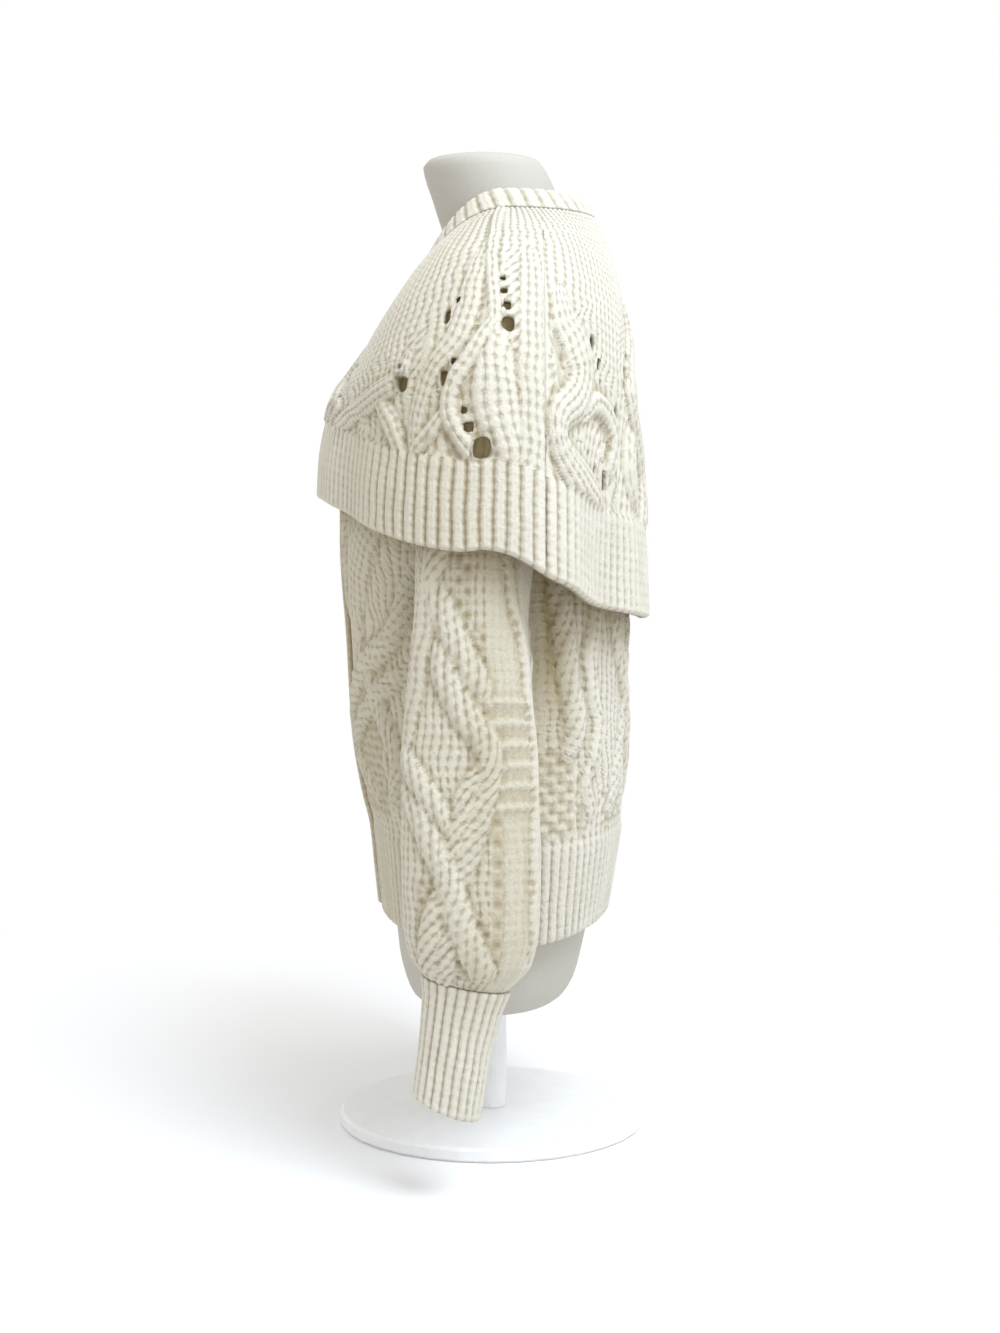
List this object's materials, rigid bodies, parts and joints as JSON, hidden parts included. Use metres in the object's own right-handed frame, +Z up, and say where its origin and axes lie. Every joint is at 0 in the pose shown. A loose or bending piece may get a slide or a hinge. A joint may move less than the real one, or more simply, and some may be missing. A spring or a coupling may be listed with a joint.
{
  "type": "cardigan on dress form",
  "caption": "Chunky cable-knit cardigan with a deep capelet, bishop sleeves and ribbed edges, worn by a limbless dress form on a round-footed stand.",
  "frame": {"origin": "centre of the stand's foot, on the surface that it stands on", "axes": "+Z up, -Y the way the wearer faces, +X the wearer's left"},
  "size_m": [0.5388, 0.2748, 0.811],
  "materials": {
    "cream_wool": "matte chunky knit",
    "form_cover": "matte woven cover",
    "stand_paint": "satin white"
  },
  "bodies": {
    "root": {"back": "cream_wool", "front_left": "cream_wool", "front_right": "cream_wool", "front_band_under": "cream_wool", "front_band_top": "cream_wool", "sleeve_left": "cream_wool", "sleeve_right": "cream_wool", "cuff_left": "cream_wool", "cuff_right": "cream_wool", "cape_back": "cream_wool", "cape_front_left": "cream_wool", "cape_front_right": "cream_wool", "neckband": "cream_wool", "form_torso": "form_cover", "form_flange": "stand_paint", "form_pole": "stand_paint", "form_foot": "stand_paint"}
  },
  "joints": []
}
